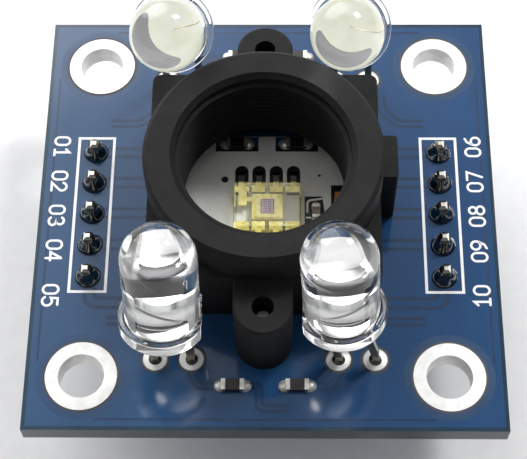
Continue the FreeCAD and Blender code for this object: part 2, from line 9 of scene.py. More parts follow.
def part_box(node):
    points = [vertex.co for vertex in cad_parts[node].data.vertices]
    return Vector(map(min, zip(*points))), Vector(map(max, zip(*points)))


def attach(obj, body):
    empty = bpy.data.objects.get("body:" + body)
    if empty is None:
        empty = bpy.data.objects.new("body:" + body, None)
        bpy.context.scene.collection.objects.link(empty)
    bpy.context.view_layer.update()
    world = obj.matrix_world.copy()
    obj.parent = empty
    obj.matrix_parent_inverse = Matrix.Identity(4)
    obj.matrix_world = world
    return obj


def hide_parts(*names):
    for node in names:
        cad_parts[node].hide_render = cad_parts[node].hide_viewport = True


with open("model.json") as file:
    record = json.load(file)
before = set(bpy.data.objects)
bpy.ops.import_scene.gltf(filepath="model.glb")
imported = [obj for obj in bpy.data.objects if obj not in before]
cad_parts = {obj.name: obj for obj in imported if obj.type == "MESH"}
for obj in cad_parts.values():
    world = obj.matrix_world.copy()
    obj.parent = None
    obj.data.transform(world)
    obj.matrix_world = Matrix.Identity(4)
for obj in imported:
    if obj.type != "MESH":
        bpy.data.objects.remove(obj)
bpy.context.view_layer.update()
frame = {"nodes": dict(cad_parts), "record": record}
nodes = frame["nodes"]
mm = 0.001


def boxOf(name):  # a node's lowest and highest corners in mm
    low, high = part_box(name)
    return [value / mm for value in low], [value / mm for value in high]


def spotsOf(name):  # the points of a node's mesh in mm
    return [vertex.co / mm for vertex in nodes[name].data.vertices]


def mountOf(name):
    return next(mount for mount in frame["record"]["mounts"] if mount["name"] == name)


boardLow, boardHigh = boxOf("circuit_board")
boardTop = boardHigh[2]
floorLevel = boxOf("left_header_pins")[0][2]
holderHigh = boxOf("lens_holder")[1]
packageLow, packageHigh = boxOf("sensor_package")
sensorX = (packageLow[0] + packageHigh[0]) / 2
dieLow, dieHigh = boxOf("sensor_die")
printLift = 0.012  # how far print stands on the board
random.seed(7)
print("frame loaded:", len(nodes), "nodes")


# Materials
toneSpan = (0.35, 0.65)  # the part of a noise over which dark turns into light
wideSpan = (0.3, 0.7)  # the same for glass and for the board


def newMaterial(name):
    material = bpy.data.materials.new(name)
    material.use_nodes = True
    tree = material.node_tree
    return material, tree, tree.nodes["Principled BSDF"]


def addNode(tree, kind, inputs=None, **settings):
    node = tree.nodes.new(kind)
    for key, value in settings.items():
        setattr(node, key, value)
    for key, value in (inputs or {}).items():
        node.inputs[key].default_value = value
    return node


def objectPlace(tree):  # object coordinates, in metres
    return addNode(tree, "ShaderNodeTexCoord").outputs["Object"]


def noise(tree, place, scale, detail=3.0, roughness=0.55):
    node = addNode(tree, "ShaderNodeTexNoise", {"Scale": scale, "Detail": detail, "Roughness": roughness})
    tree.links.new(place, node.inputs["Vector"])
    return node.outputs["Fac"]


def stretched(tree, place, factors):  # the same place with each axis scaled
    node = addNode(tree, "ShaderNodeVectorMath", {1: factors}, operation="MULTIPLY")
    tree.links.new(place, node.inputs[0])
    return node.outputs["Vector"]


def ramp(tree, factor, stops):
    node = addNode(tree, "ShaderNodeValToRGB")
    elements = node.color_ramp.elements
    while len(elements) < len(stops):
        elements.new(0.5)
    for element, (position, color) in zip(elements, stops):
        element.position = position
        element.color = (*color, 1.0)
    tree.links.new(factor, node.inputs["Fac"])
    return node.outputs["Color"]


def spread(tree, factor, low, high):
    node = addNode(tree, "ShaderNodeMapRange", {"To Min": low, "To Max": high})
    tree.links.new(factor, node.inputs["Value"])
    return node.outputs["Result"]


def mixColor(tree, factor, first, second):
    node = addNode(tree, "ShaderNodeMix", data_type="RGBA")
    tree.links.new(factor, node.inputs[0])
    for socket, value in ((node.inputs[6], first), (node.inputs[7], second)):
        if isinstance(value, tuple):
            socket.default_value = (*value, 1.0)
        else:
            tree.links.new(value, socket)
    return node.outputs[2]


def bump(tree, shader, height, strength, distance):
    node = addNode(tree, "ShaderNodeBump", {"Strength": strength, "Distance": distance})
    tree.links.new(height, node.inputs["Height"])
    tree.links.new(node.outputs["Normal"], shader.inputs["Normal"])


def tones(tree, factor, dark, light, span=toneSpan):
    return ramp(tree, factor, [(span[0], dark), (span[1], light)])


def roughen(tree, shader, place, scale, roughness, finer=3):  # in spots finer than those of the tones
    rough = spread(tree, noise(tree, place, scale * finer), *roughness)
    tree.links.new(rough, shader.inputs["Roughness"])


# painted glow: emission in the surface's own colour, for parts that are no lamps
def setPaintedGlow(tree, shader, color, look):
    if "paintedGlow" in look:
        tree.links.new(color, shader.inputs["Emission Color"])
        shader.inputs["Emission Strength"].default_value = look["paintedGlow"]


def surfaceMaterial(name, look):  # two close tones on an uneven surface
    material, tree, shader = newMaterial(name)
    place = objectPlace(tree)
    color = tones(tree, noise(tree, place, look["toneScale"]), look["dark"], look["light"])
    tree.links.new(color, shader.inputs["Base Color"])
    roughen(tree, shader, place, look["toneScale"], look["roughness"])
    shader.inputs["Metallic"].default_value = look.get("metallic", 0.0)
    shader.inputs["Specular IOR Level"].default_value = look.get("specular", 0.5)
    setPaintedGlow(tree, shader, color, look)
    if "bump" in look:
        grain = noise(tree, place, look["grainScale"], detail=2.0)
        bump(tree, shader, grain, look["bump"], look["bumpDepth"])
    return material


def twoPartMaterial(name, look):  # painted light and shade: one metal that changes tone at a height or at a distance out
    material, tree, shader = newMaterial(name)
    place = objectPlace(tree)
    parts = addNode(tree, "ShaderNodeSeparateXYZ")
    tree.links.new(place, parts.inputs[0])
    far = addNode(tree, "ShaderNodeMath", operation="ABSOLUTE")
    tree.links.new(parts.outputs[look["axis"]], far.inputs[0])
    share = addNode(tree, "ShaderNodeMapRange", {"From Min": look["from"], "From Max": look["to"]})
    tree.links.new(far.outputs[0], share.inputs["Value"])
    tone = noise(tree, place, look["toneScale"])
    low = tones(tree, tone, look["lowDark"], look["lowLight"])
    high = tones(tree, tone, look["highDark"], look["highLight"])
    color = mixColor(tree, share.outputs["Result"], low, high)
    tree.links.new(color, shader.inputs["Base Color"])
    setPaintedGlow(tree, shader, color, look)
    roughen(tree, shader, place, look["toneScale"], look["roughness"])
    shader.inputs["Metallic"].default_value = look["metallic"]
    return material


def glassMaterial(name, look):  # shadow rays pass it, so that what it holds is lit
    material, tree, shader = newMaterial(name)
    place = objectPlace(tree)
    shader.inputs["Transmission Weight"].default_value = look["transmission"]
    shader.inputs["IOR"].default_value = look["ior"]
    color = tones(tree, noise(tree, place, look["toneScale"]), look["dark"], look["light"], wideSpan)
    tree.links.new(color, shader.inputs["Base Color"])
    roughen(tree, shader, place, look["toneScale"], look["roughness"], finer=2)
    clear = addNode(tree, "ShaderNodeBsdfTransparent", {"Color": look["shadow"]})
    rays = addNode(tree, "ShaderNodeLightPath")
    mix = addNode(tree, "ShaderNodeMixShader")
    tree.links.new(rays.outputs["Is Shadow Ray"], mix.inputs["Fac"])
    tree.links.new(shader.outputs["BSDF"], mix.inputs[1])
    tree.links.new(clear.outputs["BSDF"], mix.inputs[2])
    tree.links.new(mix.outputs["Shader"], tree.nodes["Material Output"].inputs["Surface"])
    return material


def boardMaterial(name, look):  # blue coating on the faces, bare laminate on the sides
    material, tree, shader = newMaterial(name)
    place = objectPlace(tree)
    cloud = tones(tree, noise(tree, place, look["cloudScale"]), look["dark"], look["light"], wideSpan)
    weave = noise(tree, stretched(tree, place, look["weaveStretch"]), look["weaveScale"], detail=2.0)
    streaked = mixColor(tree, spread(tree, weave, 0.0, look["weaveMix"]), cloud, look["weave"])
    across = addNode(tree, "ShaderNodeSeparateXYZ")
    tree.links.new(place, across.inputs[0])
    # painted reflection: the coating turns paler towards the left edge, standing in for the glossy board
    # reflecting brighter light there
    paintedSheenShare = addNode(tree, "ShaderNodeMapRange", {"From Min": look["paintedSheenFrom"], "From Max": look["paintedSheenTo"],
                                                  "To Min": look["paintedSheenMost"], "To Max": 0.0})
    tree.links.new(across.outputs["X"], paintedSheenShare.inputs["Value"])
    coated = mixColor(tree, paintedSheenShare.outputs["Result"], streaked, look["paintedSheen"])
    facing = addNode(tree, "ShaderNodeNewGeometry").outputs["Normal"]
    parts = addNode(tree, "ShaderNodeSeparateXYZ")
    tree.links.new(facing, parts.inputs[0])
    flat = addNode(tree, "ShaderNodeMath", operation="ABSOLUTE")
    tree.links.new(parts.outputs["Z"], flat.inputs[0])
    isFace = addNode(tree, "ShaderNodeMath", {1: look["faceFrom"]}, operation="GREATER_THAN")
    tree.links.new(flat.outputs[0], isFace.inputs[0])
    layers = noise(tree, stretched(tree, place, look["layerStretch"]), look["layerScale"])
    side = tones(tree, layers, look["sideDark"], look["sideLight"])
    tree.links.new(mixColor(tree, isFace.outputs[0], side, coated), shader.inputs["Base Color"])
    roughen(tree, shader, place, look["cloudScale"], look["roughness"], finer=4)
    bump(tree, shader, weave, look["bump"], look["bumpDepth"])
    return material


boardLook = {"dark": (0.010, 0.050, 0.142), "light": (0.014, 0.063, 0.172), "cloudScale": 160,
             "weave": (0.021, 0.077, 0.190), "weaveMix": 0.5, "weaveStretch": (5.0, 0.35, 1.0),
             "weaveScale": 420, "paintedSheen": (0.034, 0.082, 0.155), "paintedSheenMost": 0.55,
             "paintedSheenFrom": -0.0166, "paintedSheenTo": 0.002,  # painted reflection: paler from the middle to the left edge, in metres
             "sideDark": (0.011, 0.026, 0.033), "sideLight": (0.023, 0.041, 0.048),
             "layerStretch": (1.0, 1.0, 14.0), "layerScale": 700, "faceFrom": 0.5,
             "roughness": (0.08, 0.13), "bump": 0.05, "bumpDepth": 0.00002}
board = boardMaterial("blue coated board", boardLook)
gapBlue = surfaceMaterial("darker blue coating", {
    "dark": (0.011, 0.034, 0.086), "light": (0.016, 0.044, 0.106), "toneScale": 400,
    "roughness": (0.12, 0.2)})
ringBlue = surfaceMaterial("greyer coating round the rings", {
    "dark": (0.018, 0.054, 0.130), "light": (0.024, 0.066, 0.150), "toneScale": 400,
    "roughness": (0.14, 0.24)})
edgeBlue = surfaceMaterial("bare board edge", {
    "dark": (0.007, 0.030, 0.056), "light": (0.012, 0.042, 0.074), "toneScale": 500,
    "roughness": (0.10, 0.16)})
bareGap = surfaceMaterial("grey brown gap", {
    "dark": (0.020, 0.022, 0.028), "light": (0.034, 0.036, 0.042), "toneScale": 600,
    "roughness": (0.3, 0.5)})
whitePrint = surfaceMaterial("white board print", {
    "dark": (0.88, 0.89, 0.90), "light": (0.95, 0.95, 0.95), "toneScale": 900,
    "roughness": (0.5, 0.65)})
shelteredPrint = surfaceMaterial("white print under the holder", {
    "dark": (0.84, 0.84, 0.81), "light": (0.93, 0.93, 0.90), "toneScale": 500,
    "roughness": (0.45, 0.6), "grainScale": 1500, "bump": 0.2, "bumpDepth": 0.00002})
holder = surfaceMaterial("moulded black plastic", {
    "dark": (0.0106, 0.0106, 0.0107), "light": (0.0148, 0.0148, 0.0149), "toneScale": 900,
    "specular": 0.155, "roughness": (0.55, 0.66), "grainScale": 9000, "bump": 0.18, "bumpDepth": 0.00002})
# painted shade: a near-black coating that stands in for the holder's shade on the blue board
paintedShadeCoating = surfaceMaterial("painted shade in the holder", {
    "dark": (0.003, 0.005, 0.007), "light": (0.007, 0.010, 0.011), "toneScale": 900,
    "roughness": (0.25, 0.4)})
stripPlastic = surfaceMaterial("black header plastic", {
    "dark": (0.012, 0.012, 0.013), "light": (0.020, 0.020, 0.021), "toneScale": 1200,
    "roughness": (0.32, 0.45), "grainScale": 6000, "bump": 0.15, "bumpDepth": 0.00001})
tin = surfaceMaterial("bright tin", {
    "dark": (0.74, 0.74, 0.72), "light": (0.86, 0.86, 0.84), "toneScale": 1500,
    "roughness": (0.26, 0.42), "metallic": 0.25, "grainScale": 4000, "bump": 0.12, "bumpDepth": 0.00001})
# painted shade: the same solder as the bright joints, darkened to look as dark as it does among dark
# surroundings
solder = surfaceMaterial("dark shiny solder", {
    "dark": (0.10, 0.10, 0.09), "light": (0.24, 0.24, 0.22), "toneScale": 2500,
    "roughness": (0.06, 0.14), "metallic": 1.0, "grainScale": 2200, "bump": 0.5, "bumpDepth": 0.00004})
pinMetal = surfaceMaterial("plated pin", {
    "dark": (0.80, 0.78, 0.70), "light": (0.94, 0.92, 0.86), "toneScale": 900,
    "roughness": (0.1, 0.2), "metallic": 1.0})
chipSolder = surfaceMaterial("dull solder", {
    "dark": (0.62, 0.61, 0.56), "light": (0.88, 0.87, 0.82), "toneScale": 2500,
    "roughness": (0.18, 0.34), "metallic": 0.55, "grainScale": 2200, "bump": 0.4, "bumpDepth": 0.00003})
phosphor = surfaceMaterial("pale phosphor", {  # painted glow: emission stands in for the light that the lens gathers on it
    "dark": (0.77, 0.78, 0.64), "light": (0.87, 0.88, 0.76), "toneScale": 2600,
    "roughness": (0.5, 0.7), "paintedGlow": 0.28})
# painted glow: emission stands in for the light that the clear package gathers on the chip
dieFace = surfaceMaterial("pale light chip", {
    "dark": (0.66, 0.58, 0.20), "light": (0.82, 0.74, 0.34), "toneScale": 3000,
    "roughness": (0.25, 0.4), "paintedGlow": 0.3})
leadLook = {"axis": "Z", "lowDark": (0.20, 0.18, 0.12), "lowLight": (0.36, 0.33, 0.25),
            "highDark": (0.84, 0.84, 0.83), "highLight": (0.92, 0.92, 0.91), "toneScale": 1400,
            "metallic": 0.75, "roughness": (0.16, 0.3)}  # painted shade and reflection: one silvered lead, dull and dark outside the lens, bright plates inside it
frontLead = twoPartMaterial("silvered front lead", {**leadLook, "from": 0.0066, "to": 0.0074})
rearLead = twoPartMaterial("silvered rear lead", {**leadLook, "from": 0.0090, "to": 0.0100})
frameGold = twoPartMaterial("yellow lead frame", {  # painted light and shade: bright in the package, dark outside it where it goes down into shade
    "axis": "Y", "from": 0.00205, "to": 0.0023,
    "lowDark": (0.82, 0.72, 0.20), "lowLight": (0.95, 0.86, 0.34),
    "highDark": (0.035, 0.036, 0.030), "highLight": (0.09, 0.09, 0.075), "toneScale": 1800,
    "metallic": 0.3, "roughness": (0.25, 0.4), "paintedGlow": 0.16})  # painted glow: emission stands in for the light the clear package gathers on it
arrayViolet = surfaceMaterial("violet light cells", {
    "dark": (0.34, 0.16, 0.28), "light": (0.46, 0.24, 0.36), "toneScale": 5000,
    "roughness": (0.2, 0.3)})
arrayPink = surfaceMaterial("pink light cells", {
    "dark": (0.82, 0.56, 0.66), "light": (0.94, 0.76, 0.82), "toneScale": 5000,
    "roughness": (0.2, 0.3)})
arrayBlue = surfaceMaterial("blue light cells", {
    "dark": (0.42, 0.44, 0.66), "light": (0.62, 0.66, 0.88), "toneScale": 5000,
    "roughness": (0.2, 0.3)})
ceramicBlack = surfaceMaterial("black resistor glaze", {
    "dark": (0.014, 0.011, 0.010), "light": (0.026, 0.020, 0.018), "toneScale": 1800,
    "roughness": (0.3, 0.4)})
chipEnd = surfaceMaterial("tinned chip end", {
    "dark": (0.60, 0.59, 0.53), "light": (0.84, 0.83, 0.78), "toneScale": 2500,
    "roughness": (0.3, 0.42), "metallic": 0.8})
capacitorBrown = surfaceMaterial("brown capacitor body", {
    "dark": (0.22, 0.17, 0.12), "light": (0.32, 0.25, 0.18), "toneScale": 2500,
    "roughness": (0.4, 0.55)})
capacitorOrange = surfaceMaterial("orange moulding", {
    "dark": (0.36, 0.14, 0.02), "light": (0.52, 0.24, 0.04), "toneScale": 1200,
    "roughness": (0.35, 0.5), "grainScale": 5000, "bump": 0.2, "bumpDepth": 0.00002})
screwSteel = surfaceMaterial("dark screw steel", {
    "dark": (0.30, 0.30, 0.31), "light": (0.46, 0.46, 0.47), "toneScale": 1500,
    "roughness": (0.25, 0.38), "metallic": 1.0})
goldWire = surfaceMaterial("gold wire", {
    "dark": (0.86, 0.78, 0.52), "light": (0.95, 0.88, 0.66), "toneScale": 3000,
    "roughness": (0.15, 0.25), "metallic": 1.0})
lampGlass = glassMaterial("clear lamp resin", {
    "ior": 1.52, "dark": (0.975, 0.985, 0.985), "light": (1.0, 1.0, 1.0), "toneScale": 300,
    "transmission": 1.0, "roughness": (0.0, 0.015), "shadow": (0.90, 0.91, 0.91, 1.0)})
packageGlass = glassMaterial("clear package resin", {
    "ior": 1.5, "dark": (0.92, 0.93, 0.88), "light": (0.98, 0.98, 0.95), "toneScale": 700,
    "transmission": 0.95, "roughness": (0.0, 0.06), "shadow": (0.93, 0.94, 0.90, 1.0)})


def paint(name, material):
    mesh = nodes[name].data
    mesh.materials.clear()
    mesh.materials.append(material)


nodePaint = {  # by the end of a node's name, of which the longest match holds
    "circuit_board": board, "mounting_hole_plating": tin, "lens_holder": holder,
    "holder_screw_front": screwSteel, "holder_screw_rear": screwSteel,
    "_header_strip": stripPlastic, "_header_pins": pinMetal, "_solder": solder,
    "_led_lens": lampGlass, "_phosphor": phosphor,
    "sensor_package": packageGlass, "sensor_lead_frame": frameGold, "sensor_die": dieFace,
    "_resistor": ceramicBlack, "_ends": chipEnd, "_tabs": chipEnd,
    "small_capacitor": capacitorBrown, "moulded_capacitor": capacitorOrange,
}
for row, material in (("front", frontLead), ("rear", rearLead)):
    for side in ("left", "right"):
        nodePaint[row + "_" + side + "_led_cup_lead"] = material
        nodePaint[row + "_" + side + "_led_post_lead"] = material
for name in nodes:
    endings = [ending for ending in nodePaint if name.endswith(ending)]
    paint(name, nodePaint[max(endings, key=len)])
print("materials set")


# Mesh building, in mm
class Shape:
    def __init__(self):
        self.points = []
        self.faces = []

    def add(self, points, faces):
        start = len(self.points)
        self.points += [Vector(point) for point in points]
        self.faces += [tuple(start + index for index in face) for face in faces]

    def place(self, name, material, slotName, smooth=False, replaced=()):
        mesh = bpy.data.meshes.new(name)
        mesh.from_pydata([point * mm for point in self.points], [], self.faces)
        mesh.materials.append(material)
        mesh.validate()
        mesh.update()
        if smooth:
            mesh.shade_smooth()
        piece = bpy.data.objects.new(name, mesh)
        bpy.context.scene.collection.objects.link(piece)
        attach(piece, "root")
        if replaced:
            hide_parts(*replaced)


def addPlate(shape, outline, low, high, holes=()):  # flat plate with straight walls
    loops = [[Vector((x, y, 0.0)) for x, y in loop] for loop in (outline, *holes)]
    flatPoints = [point for loop in loops for point in loop]
    count = len(flatPoints)
    points = [(p.x, p.y, low) for p in flatPoints] + [(p.x, p.y, high) for p in flatPoints]
    faces = []
    for a, b, c in geometry.tessellate_polygon(loops):
        if (flatPoints[b] - flatPoints[a]).cross(flatPoints[c] - flatPoints[a]).z < 0:
            b, c = c, b
        faces.append((a + count, b + count, c + count))
        faces.append((c, b, a))
    start = 0
    for number, loop in enumerate(loops):
        area = sum(p.x * q.y - q.x * p.y for p, q in zip(loop, loop[1:] + loop[:1]))
        outward = (area > 0) == (number == 0)
        for index in range(len(loop)):
            a = start + index
            b = start + (index + 1) % len(loop)
            wall = (a, b, b + count, a + count)
            faces.append(wall if outward else wall[::-1])
        start += len(loop)
    shape.add(points, faces)


def arc(centerX, centerY, radiusX, radiusY, start, end, steps=10):
    points = []
    for index in range(steps + 1):
        angle = math.radians(start + (end - start) * index / steps)
        points.append((centerX + radiusX * math.cos(angle), centerY + radiusY * math.sin(angle)))
    return points


def circle(x, y, radius, sides):
    return arc(x, y, radius, radius, 0, 360 - 360 / sides, sides - 1)


def rectangle(x, y, sizeX, sizeY):
    return [(x - sizeX / 2, y - sizeY / 2), (x + sizeX / 2, y - sizeY / 2),
            (x + sizeX / 2, y + sizeY / 2), (x - sizeX / 2, y + sizeY / 2)]


ribbonShape = {"endSides": 12, "sharpest": 0.35,  # keeps a sharp corner from running far out
               "endDrop": 0.001}  # round ends lie a little lower, so that no faces coincide


def offsetLine(points, distance, closed):  # the line moved to its left, with sharp corners kept
    moved = []
    count = len(points)
    for index, point in enumerate(points):
        here = Vector(point)
        before = Vector(points[index - 1]) if closed or index > 0 else None
        after = Vector(points[(index + 1) % count]) if closed or index < count - 1 else None
        sides = []
        if before is not None:
            run = (here - before).normalized()
            sides.append(Vector((-run.y, run.x)))
        if after is not None:
            run = (after - here).normalized()
            sides.append(Vector((-run.y, run.x)))
        side = sum(sides, Vector((0.0, 0.0))).normalized()
        stretch = max(side.dot(sides[0]), ribbonShape["sharpest"])
        moved.append(tuple(here + side * (distance / stretch)))
    return moved


def addRibbon(shape, points, width, closed=False, lift=printLift):  # a low strip along a line
    low = boardTop
    high = boardTop + lift
    corners = []
    for right, left in zip(offsetLine(points, -width / 2, closed), offsetLine(points, width / 2, closed)):
        corners += [(*right, low), (*left, low), (*left, high), (*right, high)]
    faces = []
    for index in range(len(points) if closed else len(points) - 1):
        a = index * 4
        b = (index + 1) % len(points) * 4
        for step in range(4):
            after = (step + 1) % 4
            faces.append((a + step, a + after, b + after, b + step))
    if closed:
        shape.add(corners, faces)
        return
    last = len(corners) - 4
    shape.add(corners, faces + [(3, 2, 1, 0), (last, last + 1, last + 2, last + 3)])
    for end in (points[0], points[-1]):
        disc = circle(*end, width / 2, ribbonShape["endSides"])
        addPlate(shape, disc, low, high - ribbonShape["endDrop"])


# A turned body, whose profile of (radius, height) starts and ends on the axis
def addTurned(shape, profile, matrix, segments, reshape=None):
    points = []
    faces = []
    rows = []
    for number, (radius, height) in enumerate(profile):
        if radius == 0.0:
            rows.append([len(points)])
            points.append(matrix @ Vector((0.0, 0.0, height)))
            continue
        row = []
        for index in range(segments):
            angle = 2 * math.pi * index / segments
            spot = Vector((radius * math.cos(angle), radius * math.sin(angle), height))
            if reshape:
                spot = reshape(spot, number)
            row.append(len(points))
            points.append(matrix @ spot)
        rows.append(row)
    for lower, upper in zip(rows, rows[1:]):
        for index in range(segments):
            after = (index + 1) % segments
            corners = []
            for row, order in ((lower, (index, after)), (upper, (after, index))):
                corners += [row[0]] if len(row) == 1 else [row[step] for step in order]
            faces.append(tuple(corners))
    shape.add(points, faces)


def addTube(shape, path, radius, sides=8):
    path = [Vector(point) for point in path]
    points = []
    faces = []
    side = None
    for index, spot in enumerate(path):
        before = path[max(index - 1, 0)]
        after = path[min(index + 1, len(path) - 1)]
        run = (after - before).normalized()
        if side is None:
            side = run.orthogonal().normalized()
        side = (side - run * side.dot(run)).normalized()
        other = run.cross(side)
        for step in range(sides):
            angle = 2 * math.pi * step / sides
            points.append(spot + side * (radius * math.cos(angle)) + other * (radius * math.sin(angle)))
    for index in range(len(path) - 1):
        for step in range(sides):
            a = index * sides + step
            b = index * sides + (step + 1) % sides
            faces.append((a, b, b + sides, a + sides))
    faces.append(tuple(reversed(range(sides))))
    faces.append(tuple(range(len(points) - sides, len(points))))
    shape.add(points, faces)


def addBox(shape, low, high):
    outline = [(low[0], low[1]), (high[0], low[1]), (high[0], high[1]), (low[0], high[1])]
    addPlate(shape, outline, low[2], high[2])


def humpPath(start, end, rise, steps):  # from start to end, lifted by rise in the middle
    shares = [step / steps for step in range(steps + 1)]
    return [start.lerp(end, share) + rise * math.sin(math.pi * share) for share in shares]


# Lamps: one smooth lens each, round the leads that the frame holds
lamps = ("front_left", "front_right", "rear_left", "rear_right")
lampShape = {"bodyRadius": 2.5, "flangeHeight": 1.0, "edgeRound": 0.12, "rootRound": 0.2, "roundSteps": 5,
             "flatDepth": 0.42, "underDish": 0.06, "dishShares": (0.7, 0.8),
             "wallShares": (0.3, 0.6, 0.85), "noseSteps": 22, "segments": 96,
             "mouthBand": 0.01, "postBand": 0.3,
             "noseShort": 0.004}  # keeps the smooth nose inside the frame's box
bondShape = {"radius": 0.013, "rise": 0.35, "steps": 10}


def lampPlace(lamp):  # origin at the middle of the flange, Z along the lens, X to the thin post
    weights = {}
    for face in nodes[lamp + "_led_phosphor"].data.polygons:
        key = tuple(round(value, 3) for value in face.normal)
        weights[key] = weights.get(key, 0.0) + face.area
    axis = Vector(max(weights, key=weights.get)).normalized()  # the filling's flat mouth faces this way
    filling = spotsOf(lamp + "_led_phosphor")
    mouthLevel = max(spot.dot(axis) for spot in filling)
    mouth = [spot for spot in filling if spot.dot(axis) > mouthLevel - lampShape["mouthBand"]]
    center = sum(mouth, Vector()) / len(mouth)
    lensSpots = spotsOf(lamp + "_led_lens")
    baseLevel = min(spot.dot(axis) for spot in lensSpots)
    topLevel = max(spot.dot(axis) for spot in lensSpots)
    base = center - axis * (mouthLevel - baseLevel)
    post = spotsOf(lamp + "_led_post_lead")
    tops = [spot for spot in post if spot.dot(axis) > mouthLevel - lampShape["postBand"]]
    aside = sum(tops, Vector()) / len(tops) - base
    across = (aside - axis * aside.dot(axis)).normalized()
    forward = axis.cross(across)
    matrix = Matrix((across, forward, axis)).transposed().to_4x4()
    matrix.translation = base
    flangeRadius = max((spot - base - axis * (spot - base).dot(axis)).length for spot in lensSpots)
    postTop = min(tops, key=lambda spot: (spot - center).length)
    return matrix, topLevel - baseLevel, flangeRadius, mouthLevel - baseLevel, postTop


def lensProfile(length, flangeRadius):
    body = lampShape["bodyRadius"]
    edge = lampShape["edgeRound"]
    root = lampShape["rootRound"]
    flange = lampShape["flangeHeight"]
    dish = lampShape["underDish"]
    dishOut, dishDown = lampShape["dishShares"]
    steps = lampShape["roundSteps"]
    profile = [(0.0, dish), (body * dishOut, dish * dishDown), (flangeRadius - edge * 2, 0.0)]
    profile += arc(flangeRadius - edge, edge, edge, edge, -90, 0, steps)
    profile += arc(flangeRadius - edge, flange - edge, edge, edge, 0, 90, steps)
    profile += list(reversed(arc(body + root, flange + root, root, root, 180, 270, steps)))
    shoulder = length - body
    profile += [(body, flange + (shoulder - flange) * share) for share in lampShape["wallShares"]]
    profile += arc(0.0, shoulder, body, body, 0, 90, lampShape["noseSteps"])[:-1]
    profile.append((0.0, length))
    return profile


def flangeCut(flatSide):  # cuts the flange flat on the side of the cup lead
    def flatten(spot, number):
        if spot.z <= lampShape["flangeHeight"] + lampShape["rootRound"]:
            spot.x = max(spot.x, flatSide)
        return spot
    return flatten


for lamp in lamps:
    matrix, length, flangeRadius, mouthHeight, postTop = lampPlace(lamp)
    profile = lensProfile(length - lampShape["noseShort"], flangeRadius)
    flatten = flangeCut(lampShape["flatDepth"] - flangeRadius)
    lens = Shape()
    addTurned(lens, profile, matrix, lampShape["segments"], flatten)
    lens.place(lamp + "_lamp_lens", lampGlass, "lamp_lens", smooth=True, replaced=[lamp + "_led_lens"])

    wire = Shape()
    start = matrix @ Vector((0.0, 0.0, mouthHeight))
    rise = matrix.to_3x3() @ Vector((0.0, 0.0, bondShape["rise"]))
    addTube(wire, humpPath(start, postTop, rise, bondShape["steps"]), bondShape["radius"])
    wire.place(lamp + "_lamp_bond_wire", goldWire, "lamp_lead", smooth=True)
print("lamps built")


# Lens thread: one ridge that winds up the bore and fades out at both ends
threadShape = {"pitch": 0.5, "crest": 5.73, "root": 6.0, "flankHalf": 0.2, "crestHalf": 0.045, "steps": 96,
               "startGap": 0.15, "fadeSteps": 16, "wallGap": 0.001}


def addThread(shape, middle, low, high):
    turns = (high - low) / threadShape["pitch"]
    count = int(turns * threadShape["steps"])
    root = threadShape["root"] - threadShape["wallGap"]
    section = [(root, -threadShape["flankHalf"]), (threadShape["crest"], -threadShape["crestHalf"]),
               (threadShape["crest"], threadShape["crestHalf"]), (root, threadShape["flankHalf"])]
    points = []
    faces = []
    for index in range(count + 1):
        angle = 2 * math.pi * index / threadShape["steps"]
        level = low + threadShape["pitch"] * index / threadShape["steps"]
        fade = min(1.0, index / threadShape["fadeSteps"], (count - index) / threadShape["fadeSteps"])
        for radius, offset in section:
            reach = root - (root - radius) * fade
            points.append((middle[0] + reach * math.cos(angle), middle[1] + reach * math.sin(angle),
                           level + offset))
    for index in range(count):
        a = index * 4
        for step in range(4):
            b = a + (step + 1) % 4
            faces.append((a + step, b, b + 4, a + step + 4))
    faces.append((3, 2, 1, 0))
    faces.append(tuple(range(len(points) - 4, len(points))))
    shape.add(points, faces)


threadMount = mountOf("lens_thread")
threadMiddle = [value / mm for value in threadMount["pos_m"]]
threadHalf = threadMount["dims"]["length_mm"] / 2 - threadShape["startGap"] - threadShape["flankHalf"]
thread = Shape()
addThread(thread, threadMiddle, threadMiddle[2] - threadHalf, threadMiddle[2] + threadHalf)
thread.place("lens_thread_ridge", holder, "holder")
print("thread cut")


# Solder: smooth joints in place of the frame's plain ones
pinCount = 5
jointShape = {"steps": 12, "segments": 36, "riseCurve": 0.85, "wobble": 0.04, "waveStep": 0.5,
              "phaseMost": 6.28, "padShare": 0.98, "heightVaries": 0.08, "pinTip": 0.46, "pinCurve": 1.35,
              "lampLift": 0.08, "lampNeck": 0.40, "lampCurve": 3.0, "lampWobble": 0.02,
              "underTip": 0.33, "underCurve": 1.6, "leadBand": 0.05,
              "middleRadius": 0.50, "middleTip": 0.36, "middleLift": 0.16, "middleCurve": 1.5}


def addJoint(shape, place, low, high, padRadius, tipRadius, curve, wobble=jointShape["wobble"]):
    phase = random.random() * jointShape["phaseMost"]

    def uneven(spot, number):
        angle = math.atan2(spot.y, spot.x)
        factor = 1 + wobble * math.sin(2 * angle + phase) * math.sin(number * jointShape["waveStep"])
        return Vector((spot.x * factor, spot.y * factor, spot.z))

    height = abs(high - low)
    profile = [(0.0, 0.0), (padRadius, 0.0)]
    for index in range(1, jointShape["steps"] + 1):
        share = index / jointShape["steps"]
        radius = tipRadius + (padRadius - tipRadius) * (1 - share) ** curve
        profile.append((radius, height * share ** jointShape["riseCurve"]))
    profile.append((0.0, height))
    if high < low:
        profile = [(radius, -level) for radius, level in reversed(profile)]
    addTurned(shape, profile, Matrix.Translation((*place, low)), jointShape["segments"], uneven)


def pinPlaces(side):  # the middle of each pin of a header, from front to rear
    low, high = boxOf(side + "_header_pins")
    half = (high[0] - low[0]) / 2
    x = (low[0] + high[0]) / 2
    span = high[1] - low[1] - 2 * half
    return [(x, low[1] + half + span * index / (pinCount - 1)) for index in range(pinCount)]


